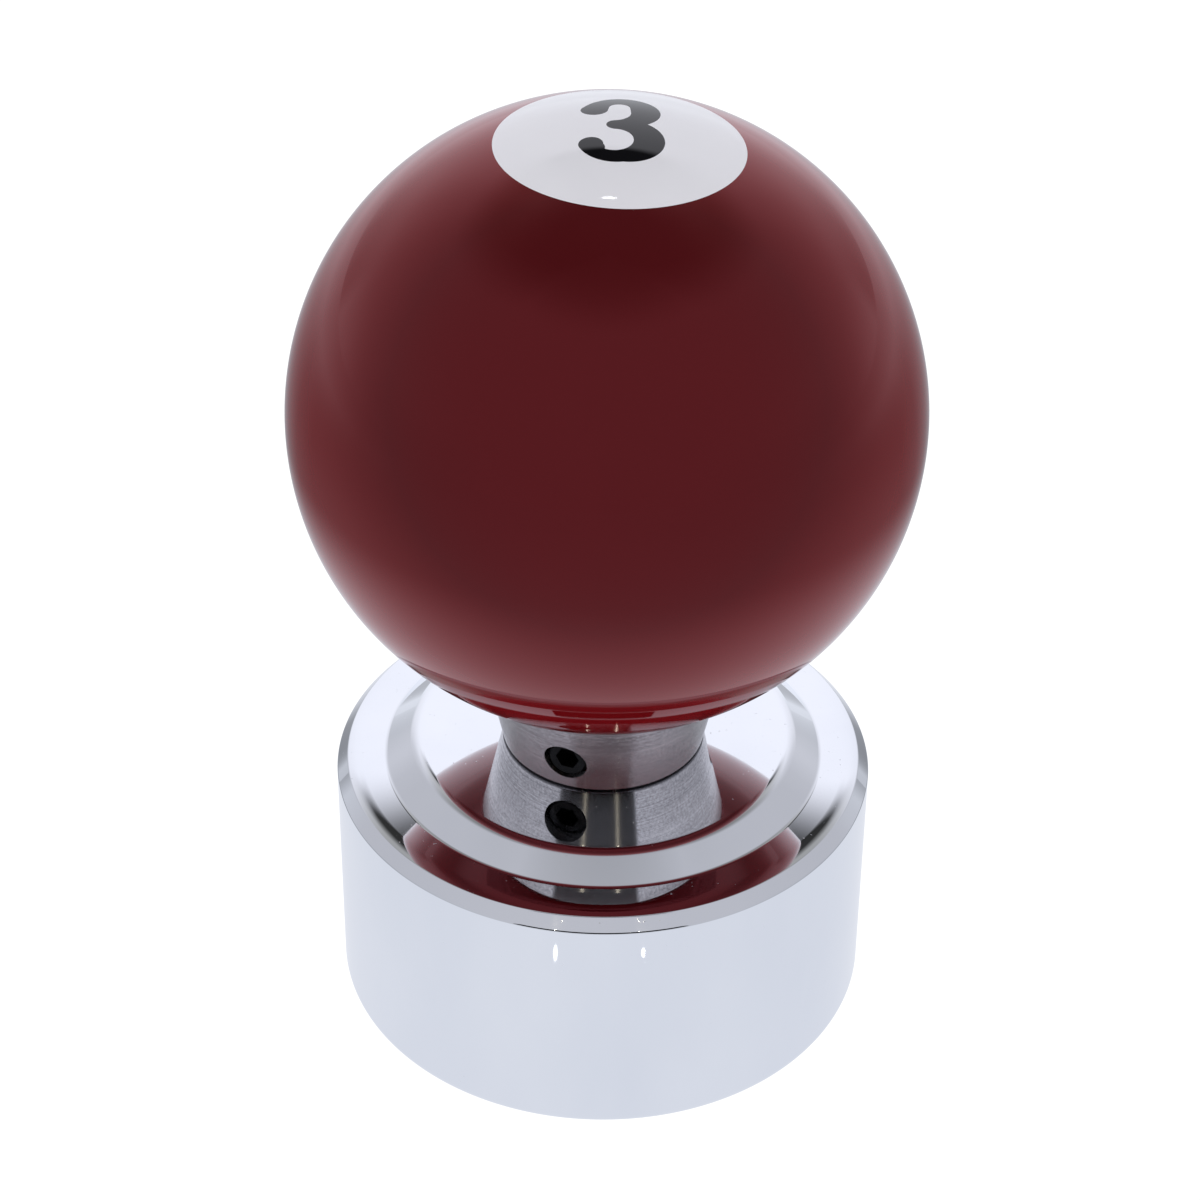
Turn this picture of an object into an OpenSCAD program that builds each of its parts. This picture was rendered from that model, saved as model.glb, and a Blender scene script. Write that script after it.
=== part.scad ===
// Gear-shift knob made from a number three pool ball, on its round shift adapter.
// The bottom rim of the cup lies in the plane z = 0. The common axis of the cup,
// the stud and the ball is the Z axis. The front of the knob faces -Y.

/* [Ball] */
// Diameter of the pool ball
ball_d = 57.15; // [52:0.05:60]
// Radius of the flat ground on the ball where the neck is seated
ball_flat_r = 11.75; // [11.65:0.05:12.5]
// Height of the ball's centre above the top of the cup
ball_rise = 35.66; // [35:0.01:38]

/* [Number spot] */
// Radius of the white spot, measured straight across
spot_r = 10.8; // [9:0.1:12]
// Depth of the spot's pocket below the spot's rim
spot_depth = 1.25; // [0.8:0.05:3]
// Depth of the black numeral below the top of the ball
numeral_depth = 1.9; // [1:0.1:3]
// Lean of the spot to the right of the ball's axis, in degrees
spot_lean_right = 1.8; // [0:0.1:4]
// Lean of the spot to the back of the ball's axis, in degrees
spot_lean_back = 1.1; // [0:0.1:4]

/* [Neck] */
// Radius of the neck where it stands on the cup
neck_base_r = 9.55; // [9.4:0.05:10.5]
// Radius of the neck where it meets the ball
neck_top_r = 11.6; // [10.5:0.05:11.6]
// Radius of the shank bonded into the ball
shank_r = 8.5; // [8:0.1:10]
// Length of the shank
shank_length = 15; // [10:0.5:18]
// Depth of the threaded bore above the neck's base
neck_bore_depth = 19; // [17:0.5:21]

/* [Set screws] */
// Outer radius of a set screw
set_screw_r = 2.06; // [1.9:0.01:2.2]
// Length of a set screw
set_screw_length = 3.2; // [2.8:0.1:3.4]
// Height of the set screws above the neck's base
set_screw_rise = 3.55; // [3.2:0.05:4]
// Direction of the set screw that faces the front left, in degrees from +X
set_screw_azimuth = 250; // [200:5:320]
// Width across flats of the hex socket
hex_key = 1.98; // [1.5:0.01:2.2]

/* [Cup] */
// Outer radius of the cup
cup_r = 25.4; // [25:0.1:26]
// Height of the cup
cup_h = 27.6; // [27:0.1:30]
// Radius of the bore at the cup's mouth
mouth_r = 22.6; // [22.3:0.1:23]
// Length of the bore at the cup's mouth
mouth_length = 6; // [4:0.5:6.5]
// Radius of the bore above the mouth
cup_bore_r = 22.1; // [22.1:0.1:22.2]
// Thickness of the cup's deck
deck = 5; // [4.6:0.1:5.5]
// Radius of the flat on top of the cup
tier_flat_r = 17.2; // [16.5:0.1:17.5]
// Radius of the rounding round the top flat
tier_round = 2; // [1:0.1:2.2]
// Slope of the chamfer below the top flat, in degrees
tier_slope = 36; // [32:1:40]
// Radius of the shoulder at the foot of the chamfer
foot_r = 20.7; // [20.4:0.1:20.9]
// Radius at which the shoulder starts to roll over
roll_r = 22.9; // [22.5:0.1:23.1]
// Radius of the shoulder's roll-over
roll_round = 8; // [6:0.5:9]
// Slope at which the shoulder meets the bevel, in degrees
crest_slope = 12; // [8:1:14]
// Slope of the bevel above the side wall, in degrees
bevel_slope = 48; // [42:1:52]
// Radius of the rounding at the bottom rim
rim_round = 1.5; // [1:0.1:1.6]

/* [Adapter plate] */
// Radius of the plate
plate_r = 21.8; // [21.5:0.1:21.8]
// Thickness of the plate
plate_t = 9; // [8.8:0.1:9.5]
// Distance from the axis to each plate screw
plate_screw_x = 16; // [15.9:0.1:16.2]
// Length of the plate screws below the plate
plate_screw_reach = 7; // [5:0.5:7]

/* [Stud] */
// Outer radius of the stud's thread
stud_r = 6.35; // [6.3:0.01:6.36]
// Length of the stud that stands above the cup
stud_reach = 16; // [14:0.5:16.5]

/* [Hidden] */
$fn = 96;

// Small amount by which a cutting shape runs past the face that it opens
past = 0.5;

// Ball and spot
ball_r = ball_d / 2;
ball_z = cup_h + ball_rise;
ball_flat_z = ball_z - sqrt(pow(ball_r, 2) - pow(ball_flat_r, 2));
spot_floor = sqrt(pow(ball_r, 2) - pow(spot_r, 2)) - spot_depth;
numeral_floor = ball_r - numeral_depth;
bond_gap = 0.02;

// Neck
neck_h = ball_flat_z - cup_h;
neck_chamfer = 0.25;
neck_bore_r = stud_r + 0.1;
mouth_chamfer = 0.6;
shank_chamfer = 0.8;
drill_tip = 118;

// Set screws, spaced evenly round the neck
set_screw_z = cup_h + set_screw_rise;
set_screw_tip_r = stud_r + 0.07;
set_screw_hole_r = set_screw_r + 0.04;
set_screw_point_r = 1.2;
set_screw_point_depth = 0.5;
hex_socket_depth = 1.7;

// Cup
stud_hole_r = 7;
foot_round = 0.7;
shoulder_slope = 2;
crest_round = 0.25;
wall_top_round = 0.3;
mouth_relief = 0.8;
inner_edge = 0.6;

// Adapter plate and its hardware
plate_top_z = cup_h - deck;
plate_z = plate_top_z - plate_t;
plate_edge = 0.5;
nut_recess_r = 10.6;
nut_recess_depth = 6.6;
washer_t = 2.2;
washer_outer_r = 9.8;
washer_split = 1.4;
nut_flats = 17.5;
nut_t = 4;
nut_gap = 0.1;
thread_gap = 0.02;
stud_chamfer = 0.9;
stud_foot_z = plate_z + 0.2;
screw_r = 2.41;
screw_grip_r = 2.25;
screw_hole_r = 2.6;
screw_head_r = 3.96;
screw_head_h = 4.4;
screw_head_key = 3.97;
screw_head_key_depth = 2.4;
screw_tip_chamfer = 0.5;
flat_washer_r = 4.4;
flat_washer_t = 0.9;
counterbore_r = 4.6;
counterbore_depth = 5.6;

// Points along an arc about [r, z] from angle a0 to a1, in degrees from the radial direction
function arc(r, z, radius, a0, a1, steps) =
    [for (i = [0:steps]) let (a = a0 + (a1 - a0) * i / steps) [r + radius * cos(a), z + radius * sin(a)]];

// Point where a rounding that starts at level reaches a given slope
function roll_end(r, z, radius, s0, s1) =
    [r + radius * (sin(s1) - sin(s0)), z - radius * (cos(s0) - cos(s1))];

// Places children in the frame of the number spot, which is centred on the ball
module in_spot_frame() {
    translate([0, 0, ball_z])
        rotate([-spot_lean_back, spot_lean_right, 0])
            children();
}

// A circle about a point
module disc(x, y, radius) {
    translate([x, y])
        circle(r = radius);
}

// The part of a circle that lies to the left of x = left_of, above y0 (side 1) or below it (side -1)
module disc_corner(x, y, radius, left_of, y0, side) {
    intersection() {
        disc(x, y, radius);
        translate([left_of - 6, side > 0 ? y0 : y0 - 6])
            square(6);
    }
}

// Outline of the numeral: two bowls, swelled at the left, less their counters, with round terminals
module numeral_outline() {
    difference() {
        union() {
            disc(0.17, 2.92, 3.22);
            disc(0.45, -2.25, 3.28);
            disc_corner(0.45, 2.12, 4.02, 0.2, 3.08, 1);
            disc_corner(-0.43, -2.37, 3.22, 0.45, -3.2, -1);
        }
        hull() {
            disc(-0.1, 3.6, 0.9);
            disc(-0.15, 2.5, 1.02);
        }
        disc_corner(-0.75, 2.5, 1.62, 3, 2.5, -1);
        disc(-0.56, -2.35, 1.65);
        translate([-5, -3])
            square([4.4, 5.9]);
    }
    disc(-2.25, 3.17, 1.17);
    disc(-2.5, -3.08, 1.05);
    disc(-2.13, -3.58, 0.83);
    disc(-0.45, 0.1, 0.78);
}

module ball_body() {
    color([0.3, 0.02, 0.03])
        difference() {
            translate([0, 0, ball_z])
                sphere(r = ball_r);
            translate([0, 0, ball_flat_z - ball_r])
                cylinder(r = ball_r, h = ball_r);
            translate([0, 0, ball_flat_z - past])
                cylinder(r = shank_r + bond_gap, h = shank_length + 2 * past);
            in_spot_frame()
                translate([0, 0, spot_floor])
                    cylinder(r = spot_r, h = ball_r);
        }
}

module number_spot() {
    color([0.85, 0.85, 0.86])
        in_spot_frame()
            difference() {
                intersection() {
                    sphere(r = ball_r);
                    translate([0, 0, spot_floor])
                        cylinder(r = spot_r, h = ball_r);
                }
                translate([0, 0, numeral_floor])
                    linear_extrude(height = ball_r)
                        numeral_outline();
            }
}

module numeral_three() {
    color([0.03, 0.03, 0.035])
        in_spot_frame()
            intersection() {
                sphere(r = ball_r);
                translate([0, 0, numeral_floor])
                    linear_extrude(height = ball_r)
                        numeral_outline();
            }
}

module neck_insert() {
    shank_top = neck_h + shank_length;
    bore_tip = neck_bore_r / tan(drill_tip / 2);
    color([0.6, 0.6, 0.62])
        difference() {
            translate([0, 0, cup_h])
                rotate_extrude()
                    polygon([
                        [0, 0],
                        [neck_base_r - neck_chamfer, 0],
                        [neck_base_r, neck_chamfer],
                        [neck_top_r, neck_h],
                        [shank_r, neck_h],
                        [shank_r, shank_top - shank_chamfer],
                        [shank_r - shank_chamfer, shank_top],
                        [0, shank_top]
                    ]);
            translate([0, 0, cup_h])
                rotate_extrude()
                    polygon([
                        [0, -past],
                        [neck_bore_r + mouth_chamfer + past, -past],
                        [neck_bore_r, mouth_chamfer],
                        [neck_bore_r, neck_bore_depth],
                        [0, neck_bore_depth + bore_tip]
                    ]);
            for (turn = [0:2])
                translate([0, 0, set_screw_z])
                    rotate([0, 90, set_screw_azimuth + 120 * turn])
                        cylinder(r = set_screw_hole_r, h = neck_top_r + past);
        }
}

// Cup-point set screw with a hex socket, lying along +X
module set_screw() {
    difference() {
        cylinder(r = set_screw_r, h = set_screw_length);
        translate([0, 0, set_screw_length - hex_socket_depth])
            cylinder(d = hex_key / cos(30), h = hex_socket_depth + past, $fn = 6);
        translate([0, 0, -past])
            cylinder(r1 = set_screw_point_r * (1 + past / set_screw_point_depth), r2 = 0,
                     h = set_screw_point_depth + past);
    }
}

module placed_set_screw(turn) {
    color([0.12, 0.12, 0.13])
        translate([0, 0, set_screw_z])
            rotate([0, 90, set_screw_azimuth + 120 * turn])
                translate([0, 0, set_screw_tip_r])
                    set_screw();
}

module set_screw_front() {
    placed_set_screw(0);
}

module set_screw_right() {
    placed_set_screw(1);
}

module set_screw_rear() {
    placed_set_screw(2);
}

module cup() {
    tier_end = roll_end(tier_flat_r, cup_h, tier_round, 0, tier_slope);
    foot_z = tier_end[1] - (foot_r - tier_end[0]) * tan(tier_slope);
    foot_reach = foot_round * tan((tier_slope - shoulder_slope) / 2);
    foot_out_r = foot_r + foot_reach * cos(shoulder_slope);
    foot_out_z = foot_z - foot_reach * sin(shoulder_slope);
    roll_z = foot_z - (roll_r - foot_r) * tan(shoulder_slope);
    crest = roll_end(roll_r, roll_z, roll_round, shoulder_slope, crest_slope);
    bevel_top = roll_end(crest[0], crest[1], crest_round, crest_slope, bevel_slope);
    wall_z = bevel_top[1] - (cup_r - bevel_top[0]) * tan(bevel_slope);
    deck_z = cup_h - deck;
    outline = concat(
        [[stud_hole_r, cup_h]],
        arc(tier_flat_r, cup_h - tier_round, tier_round, 90, 90 - tier_slope, 12),
        arc(foot_out_r + foot_round * sin(shoulder_slope), foot_out_z + foot_round * cos(shoulder_slope),
            foot_round, 270 - tier_slope, 270 - shoulder_slope, 8),
        arc(roll_r - roll_round * sin(shoulder_slope), roll_z - roll_round * cos(shoulder_slope),
            roll_round, 90 - shoulder_slope, 90 - crest_slope, 8),
        arc(crest[0] - crest_round * sin(crest_slope), crest[1] - crest_round * cos(crest_slope),
            crest_round, 90 - crest_slope, 90 - bevel_slope, 4),
        arc(cup_r - wall_top_round, wall_z - wall_top_round * tan(45 - bevel_slope / 2),
            wall_top_round, 90 - bevel_slope, 0, 4),
        arc(cup_r - rim_round, rim_round, rim_round, 0, -90, 10),
        [[mouth_r + mouth_relief, 0]],
        [[mouth_r, mouth_relief]],
        [[mouth_r, mouth_length]],
        [[cup_bore_r, mouth_length + (mouth_r - cup_bore_r)]],
        [[cup_bore_r, deck_z - inner_edge]],
        [[cup_bore_r - inner_edge, deck_z]],
        [[stud_hole_r, deck_z]]
    );
    color([0.85, 0.86, 0.88])
        rotate_extrude($fn = 180)
            polygon(outline);
}

module adapter_plate() {
    color([0.62, 0.63, 0.65])
        difference() {
            translate([0, 0, plate_z])
                rotate_extrude()
                    polygon([
                        [0, 0],
                        [plate_r - plate_edge, 0],
                        [plate_r, plate_edge],
                        [plate_r, plate_t - 2 * plate_edge],
                        [plate_r - 2 * plate_edge, plate_t],
                        [0, plate_t]
                    ]);
            translate([0, 0, plate_z - past])
                cylinder(r = nut_recess_r, h = nut_recess_depth + past);
            translate([0, 0, plate_z])
                cylinder(r = stud_r + thread_gap, h = plate_t + past);
            for (side = [-1, 1])
                translate([side * plate_screw_x, 0, plate_z - past]) {
                    cylinder(r = screw_hole_r, h = plate_t + 2 * past);
                    translate([0, 0, plate_t + past - counterbore_depth])
                        cylinder(r = counterbore_r, h = counterbore_depth + past);
                }
        }
}

module stud() {
    stud_h = cup_h + stud_reach - stud_foot_z;
    color([0.55, 0.55, 0.57])
        translate([0, 0, stud_foot_z])
            rotate_extrude()
                polygon([
                    [0, 0],
                    [stud_r - stud_chamfer, 0],
                    [stud_r, stud_chamfer],
                    [stud_r, stud_h - stud_chamfer],
                    [stud_r - stud_chamfer, stud_h],
                    [0, stud_h]
                ]);
}

module jam_nut() {
    nut_z = plate_z + nut_recess_depth - washer_t - nut_t;
    corner_r = nut_flats / 2 / cos(30);
    color([0.5, 0.5, 0.52])
        translate([0, 0, nut_z])
            difference() {
                intersection() {
                    cylinder(r = corner_r, h = nut_t, $fn = 6);
                    rotate_extrude()
                        polygon([
                            [0, 0],
                            [nut_flats / 2, 0],
                            [corner_r, (corner_r - nut_flats / 2) * tan(30)],
                            [corner_r, nut_t],
                            [0, nut_t]
                        ]);
                }
                translate([0, 0, -past])
                    cylinder(r = stud_r + thread_gap, h = nut_t + 2 * past);
            }
}

module lock_washer() {
    color([0.45, 0.45, 0.47])
        translate([0, 0, plate_z + nut_recess_depth - washer_t])
            difference() {
                cylinder(r = washer_outer_r, h = washer_t);
                translate([0, 0, -past])
                    cylinder(r = stud_r + nut_gap, h = washer_t + 2 * past);
                translate([0, -washer_split / 2, -past])
                    cube([washer_outer_r + past, washer_split, washer_t + 2 * past]);
            }
}

// Socket-head cap screw that hangs down from the seat of its head. Its plain grip passes
// through the plate, and its thread starts below the plate.
module plate_screw(side) {
    shank = plate_t - counterbore_depth + flat_washer_t + plate_screw_reach;
    seat_z = plate_top_z - counterbore_depth + flat_washer_t;
    color([0.14, 0.14, 0.15])
        translate([side * plate_screw_x, 0, seat_z])
            difference() {
                union() {
                    cylinder(r = screw_head_r, h = screw_head_h);
                    translate([0, 0, -shank])
                        rotate_extrude()
                            polygon([
                                [0, 0],
                                [screw_r - screw_tip_chamfer, 0],
                                [screw_r, screw_tip_chamfer],
                                [screw_r, plate_screw_reach],
                                [screw_grip_r, plate_screw_reach],
                                [screw_grip_r, shank + past],
                                [0, shank + past]
                            ]);
                }
                translate([0, 0, screw_head_h - screw_head_key_depth])
                    cylinder(d = screw_head_key / cos(30), h = screw_head_key_depth + past, $fn = 6);
            }
}

module plate_screw_left() {
    plate_screw(-1);
}

module plate_screw_right() {
    plate_screw(1);
}

module screw_washers() {
    color([0.6, 0.6, 0.62])
        for (side = [-1, 1])
            translate([side * plate_screw_x, 0, plate_top_z - counterbore_depth])
                difference() {
                    cylinder(r = flat_washer_r, h = flat_washer_t);
                    translate([0, 0, -past])
                        cylinder(r = screw_hole_r, h = flat_washer_t + 2 * past);
                }
}

ball_body();
number_spot();
numeral_three();
neck_insert();
set_screw_front();
set_screw_right();
set_screw_rear();
cup();
adapter_plate();
stud();
jam_nut();
lock_washer();
plate_screw_left();
plate_screw_right();
screw_washers();
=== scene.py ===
"""Looks of a gear-shift knob made from a number three pool ball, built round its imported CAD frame.

Lengths are in millimetres until a mesh is made. Every piece is in the frame of the CAD model: the
cup's bottom rim lies in z = 0, +Z is the common axis of cup, stud and ball, and the front faces -Y.
The lamps' places and sizes, and distances inside materials, are in metres.
"""

import math

import bpy
import numpy as np
from mathutils import Matrix, Vector


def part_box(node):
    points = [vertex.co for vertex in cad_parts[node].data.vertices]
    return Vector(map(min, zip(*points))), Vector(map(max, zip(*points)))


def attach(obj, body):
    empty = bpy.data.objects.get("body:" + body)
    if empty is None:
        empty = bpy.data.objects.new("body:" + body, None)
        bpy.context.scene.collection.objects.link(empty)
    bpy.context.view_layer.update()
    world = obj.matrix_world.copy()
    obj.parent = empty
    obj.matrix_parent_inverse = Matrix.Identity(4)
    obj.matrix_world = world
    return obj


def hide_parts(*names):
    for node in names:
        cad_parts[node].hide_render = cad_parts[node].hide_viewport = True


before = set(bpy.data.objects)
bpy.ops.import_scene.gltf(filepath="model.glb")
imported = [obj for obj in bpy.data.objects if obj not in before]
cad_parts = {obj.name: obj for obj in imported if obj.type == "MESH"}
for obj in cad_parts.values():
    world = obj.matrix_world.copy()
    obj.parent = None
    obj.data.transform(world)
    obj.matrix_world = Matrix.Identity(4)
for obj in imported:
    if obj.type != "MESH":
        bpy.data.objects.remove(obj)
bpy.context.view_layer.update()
MM = 0.001


def foot(node):
    """Lowest z of a CAD node, in mm, without the rounding of single precision."""
    return round(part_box(node)[0][2] / MM, 3)


def top(node):
    """Highest z of a CAD node, in mm, without the rounding of single precision."""
    return round(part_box(node)[1][2] / MM, 3)


# Heights, from the CAD nodes' boxes
CUP_H = top("cup")
NECK_TOP_Z = top("neck_insert")
PLATE_Z, PLATE_TOP_Z = foot("adapter_plate"), top("adapter_plate")
STUD_Z, STUD_TOP_Z = foot("stud"), top("stud")
NUT_Z, NUT_TOP_Z = foot("jam_nut"), top("jam_nut")
SPLIT_Z, SPLIT_TOP_Z = foot("lock_washer"), top("lock_washer")
FLAT_WASHER_Z, FLAT_WASHER_TOP_Z = foot("screw_washers"), top("screw_washers")
SCREW_Z, SCREW_TOP_Z = foot("plate_screw_left"), top("plate_screw_left")
SET_SCREW_Z = (foot("set_screw_front") + top("set_screw_front")) / 2

# Ball, spot and numeral
BALL_R = 28.575
BALL_Z = CUP_H + 35.66
BALL_FLAT_R = 11.75
BALL_FLAT_Z = BALL_Z - math.sqrt(BALL_R**2 - BALL_FLAT_R**2)
SHANK_R, SHANK_EDGE = 8.5, 0.8
SHANK_BORE_R, SHANK_BORE_DEPTH = 8.52, 15.5
SPOT_R = 10.8
SPOT_RIM = math.sqrt(BALL_R**2 - SPOT_R**2)
SPOT_FLOOR = SPOT_RIM - 1.25
NUMERAL_FLOOR = BALL_R - 1.9
SPOT_LEAN_RIGHT, SPOT_LEAN_BACK = 1.8, 1.1

# Neck and its set screws
NECK_BASE_R, NECK_TOP_R, NECK_EDGE = 9.55, 11.6, 0.25
NECK_BORE_R, NECK_BORE_DEPTH = 6.45, 19
SET_SCREW_R, SET_SCREW_PITCH, SET_SCREW_LENGTH = 2.06, 0.794, 3.2
SET_SCREW_HOLE_R = 2.1
SET_SCREW_KEY, SET_SCREW_KEY_DEPTH = 1.98, 1.7
SET_SCREW_POINT_R, SET_SCREW_POINT_DEPTH = 1.2, 0.5
# Distance from the axis to a set screw's tip
SET_SCREW_TIP_R = 6.42
# Direction of each set screw, in degrees from +X
SET_SCREW_AZIMUTHS = {"set_screw_front": 250, "set_screw_right": 10, "set_screw_rear": 130}

# Cup
CUP_R = 25.4
STUD_HOLE_R = 7
TIER_FLAT_R, TIER_ROUND, TIER_SLOPE = 17.2, 2, 36
FOOT_R, FOOT_ROUND = 20.7, 0.7
SHOULDER_SLOPE = 2
ROLL_R, ROLL_ROUND, CREST_SLOPE, CREST_ROUND = 22.9, 8, 12, 0.25
BEVEL_SLOPE, WALL_TOP_ROUND = 48, 0.3
RIM_ROUND = 1.5
MOUTH_R, MOUTH_RELIEF, MOUTH_LENGTH = 22.6, 0.8, 6
CUP_BORE_R, INNER_EDGE = 22.1, 0.6

# Adapter plate, stud and hardware
PLATE_R, PLATE_EDGE = 21.8, 0.5
NUT_RECESS_R, NUT_RECESS_TOP, NUT_RECESS_EDGE = 10.6, SPLIT_TOP_Z, 0.3
STUD_R, STUD_PITCH, STUD_CHAMFER = 6.35, 1.9538, 0.9
# Clearance round the stud's thread in the plate and the nut
THREAD_GAP = 0.02
NUT_FLATS = 17.5
SPLIT_R, SPLIT_BORE_R, SPLIT_GAP = 9.8, 6.45, 1.4
SCREW_X = 16
SCREW_R, SCREW_GRIP_R, SCREW_HOLE_R, SCREW_PITCH = 2.41, 2.25, 2.6, 1.058
SCREW_HEAD_R, SCREW_HEAD_EDGE, SCREW_KEY, SCREW_KEY_DEPTH = 3.96, 0.4, 3.97, 2.4
FLAT_WASHER_R, FLAT_WASHER_EDGE = 4.4, 0.08
COUNTERBORE_R = 4.6

# How far a cutting tool runs past the face that it opens
PAST = 1


# ---------------------------------------------------------------- surfaces that faces are shaded as

def cone(start, end):
    """The plane, cylinder or cone that a line between two (r, z) points sweeps about Z."""
    start, end = np.array(start, float), np.array(end, float)
    length = np.hypot(*(end - start))
    along = (end - start) / length
    across = np.array([along[1], -along[0]])

    def measure(points):
        radius = np.hypot(points[:, 0], points[:, 1])
        offset = np.stack([radius, points[:, 2]], axis=1) - start
        reach = offset @ along
        beyond = np.maximum(0, np.maximum(-reach, reach - length))
        spoke = points[:, :2] / np.maximum(radius, 1e-9)[:, None]
        normals = np.column_stack([spoke * across[0], np.full(len(points), across[1])])
        return np.hypot(offset @ across, beyond), normals

    return measure


def ring(r, z, radius, first, last):
    """The part of a torus that an arc about (r, z) sweeps about Z. Its angles are in degrees."""
    middle, half = math.radians(first + last) / 2, abs(math.radians(last - first)) / 2

    def measure(points):
        spread = np.hypot(points[:, 0], points[:, 1])
        angle = np.arctan2(points[:, 2] - z, spread - r)
        turn = (angle - middle + np.pi) % (2 * np.pi) - np.pi
        near = middle + np.clip(turn, -half, half)
        gap = np.hypot(r + radius * np.cos(near) - spread, z + radius * np.sin(near) - points[:, 2])
        spoke = points[:, :2] / np.maximum(spread, 1e-9)[:, None]
        return gap, np.column_stack([spoke * np.cos(near)[:, None], np.sin(near)])

    return measure


def ball(centre, radius):
    """A whole sphere."""
    centre = np.array(centre, float)

    def measure(points):
        offset = points - centre
        reach = np.linalg.norm(offset, axis=1)
        return np.abs(reach - radius), offset / np.maximum(reach, 1e-9)[:, None]

    return measure


def tube(origin, axis, radius):
    """A cylinder about any axis."""
    origin, axis = np.array(origin, float), np.array(axis, float)

    def measure(points):
        offset = points - origin
        offset = offset - np.outer(offset @ axis, axis)
        reach = np.linalg.norm(offset, axis=1)
        return np.abs(reach - radius), offset / np.maximum(reach, 1e-9)[:, None]

    return measure


def shade(piece, surfaces, tolerance=0.03):
    """Gives each face the exact normals of the surface it lies on, so that reflections show no facets.

    A face that lies on none of the surfaces, to within the tolerance in mm, is shaded flat.
    """
    mesh = piece.data
    vertices = np.empty(len(mesh.vertices) * 3)
    mesh.vertices.foreach_get("co", vertices)
    vertices = vertices.reshape(-1, 3) / MM
    corners = np.empty(len(mesh.loops), int)
    mesh.loops.foreach_get("vertex_index", corners)
    centres, facing = np.empty(len(mesh.polygons) * 3), np.empty(len(mesh.polygons) * 3)
    mesh.polygons.foreach_get("center", centres)
    mesh.polygons.foreach_get("normal", facing)
    centres, facing = centres.reshape(-1, 3) / MM, facing.reshape(-1, 3)
    sizes = np.empty(len(mesh.polygons), int)
    mesh.polygons.foreach_get("loop_total", sizes)
    owner = np.repeat(np.arange(len(mesh.polygons)), sizes)

    best = np.full(len(centres), tolerance)
    chosen = np.full(len(centres), -1)
    for index, surface in enumerate(surfaces):
        gap = surface(centres)[0]
        nearer = gap < best
        best[nearer], chosen[nearer] = gap[nearer], index
    normals = facing[owner]
    for index, surface in enumerate(surfaces):
        mine = chosen[owner] == index
        if mine.any():
            exact = surface(vertices[corners[mine]])[1]
            side = np.sign(np.sum(exact * facing[owner[mine]], axis=1))
            normals[mine] = exact * side[:, None]
    mesh.polygons.foreach_set("use_smooth", np.ones(len(mesh.polygons), bool))
    mesh.normals_split_custom_set(normals.tolist())


# ---------------------------------------------------------------- meshes

# Faces of a box whose lower four corners are listed first, both sets counter-clockwise
BOX_FACES = [(0, 1, 5, 4), (1, 2, 6, 5), (2, 3, 7, 6), (3, 0, 4, 7), (3, 2, 1, 0), (4, 5, 6, 7)]


def new_piece(name, vertices, faces):
    """A mesh object from vertices in mm."""
    mesh = bpy.data.meshes.new(name)
    mesh.from_pydata((np.array(vertices, float) * MM).tolist(), [], faces)
    mesh.update()
    piece = bpy.data.objects.new(name, mesh)
    bpy.context.scene.collection.objects.link(piece)
    return piece


def revolve(name, outline, segments):
    """A closed solid swept about Z by a closed outline of (r, z) points, listed counter-clockwise.

    Points on the axis become single vertices.
    """
    vertices, rings, faces = [], [], []
    for r, z in outline:
        count = segments if r > 1e-6 else 1
        rings.append([len(vertices) + i for i in range(count)])
        for i in range(count):
            angle = 2 * math.pi * i / segments
            vertices.append((r * math.cos(angle), r * math.sin(angle), z))
    for low, high in zip(rings, rings[1:] + rings[:1]):
        if len(low) == len(high) == 1:
            continue
        for i in range(segments):
            j = (i + 1) % segments
            corners = [low[i % len(low)], low[j % len(low)], high[j % len(high)], high[i % len(high)]]
            faces.append(list(dict.fromkeys(corners)))
    return new_piece(name, vertices, faces)


class Outline:
    """A closed outline in (r, z), drawn span by span, that keeps the surface each span sweeps."""

    def __init__(self, r, z):
        self.points, self.surfaces = [(r, z)], []

    def to(self, *points):
        """Straight on through (r, z) points."""
        for point in points:
            self.surfaces.append(cone(self.points[-1], point))
            self.points.append(point)
        return self

    def arc(self, r, z, radius, first, last, steps):
        """An arc about (r, z), with a straight span up to it if it starts elsewhere."""
        drawn = [
            (r + radius * math.cos(math.radians(first + (last - first) * i / steps)),
             z + radius * math.sin(math.radians(first + (last - first) * i / steps)))
            for i in range(steps + 1)
        ]
        if math.dist(drawn[0], self.points[-1]) > 1e-4:
            self.to(drawn[0])
        self.points += drawn[1:]
        self.surfaces.append(ring(r, z, radius, first, last))
        return self

    def solid(self, name, segments):
        """The closed solid that this outline sweeps, and its surfaces."""
        if math.dist(self.points[0], self.points[-1]) > 1e-4:
            self.surfaces.append(cone(self.points[-1], self.points[0]))
        else:
            self.points.pop()
        return revolve(name, self.points, segments), self.surfaces


def place(piece, matrix):
    """Moves a piece's own vertices by a matrix whose translation is in mm."""
    scale = Matrix.Scale(MM, 4)
    piece.data.transform(scale @ matrix @ scale.inverted())
    return piece


def combine(piece, tool, operation="DIFFERENCE"):
    """Applies an exact boolean of a piece with a tool, and removes the tool."""
    cut = piece.modifiers.new("combine", "BOOLEAN")
    cut.operation, cut.solver, cut.object = operation, "EXACT", tool
    graph = bpy.context.evaluated_depsgraph_get()
    mesh = bpy.data.meshes.new_from_object(piece.evaluated_get(graph), depsgraph=graph)
    piece.modifiers.clear()
    piece.data = mesh
    bpy.data.objects.remove(tool)
    return piece


def rod(r, low, high, sides=96, turn=0.0):
    """A plain cylinder or prism about Z, used as a cutting tool."""
    tool = revolve("tool", [(0, low), (r, low), (r, high), (0, high)], sides)
    return place(tool, Matrix.Rotation(math.radians(turn), 4, "Z"))


def hex_corner(flats):
    """Distance from the middle of a hexagon to its corners, from its width across flats."""
    return flats / 2 / math.cos(math.radians(30))


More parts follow.
